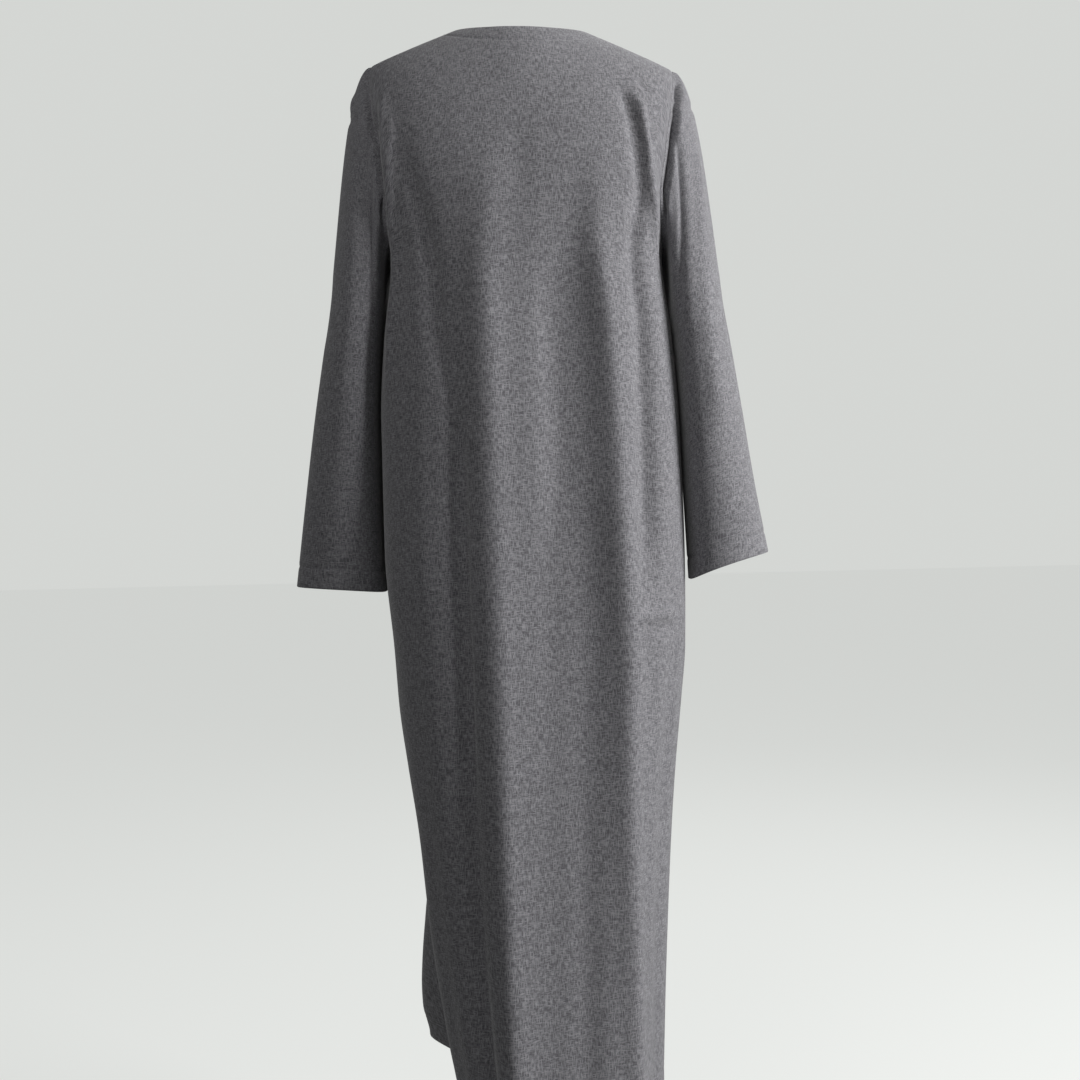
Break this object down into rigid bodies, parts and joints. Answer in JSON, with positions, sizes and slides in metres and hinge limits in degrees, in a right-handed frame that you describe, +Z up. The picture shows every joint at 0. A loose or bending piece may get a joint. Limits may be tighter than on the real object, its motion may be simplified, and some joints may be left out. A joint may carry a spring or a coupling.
{
  "type": "abaya",
  "caption": "Long plain abaya with a round neck and straight set-in sleeves, worn form, hollow, grey heathered cloth.",
  "frame": {"origin": "midway between the two points where the shoulder seams meet the neck edge, where the wearer's shoulders carry it", "axes": "+Z up, -Y towards the wearer's front, +X towards the wearer's left"},
  "size_m": [0.612, 0.3484, 1.3518],
  "materials": {
    "cloth": "heathered plain weave, matt"
  },
  "bodies": {
    "root": {"back_panel": "cloth", "front_panel": "cloth", "sleeve_left": "cloth", "sleeve_right": "cloth"}
  },
  "joints": []
}
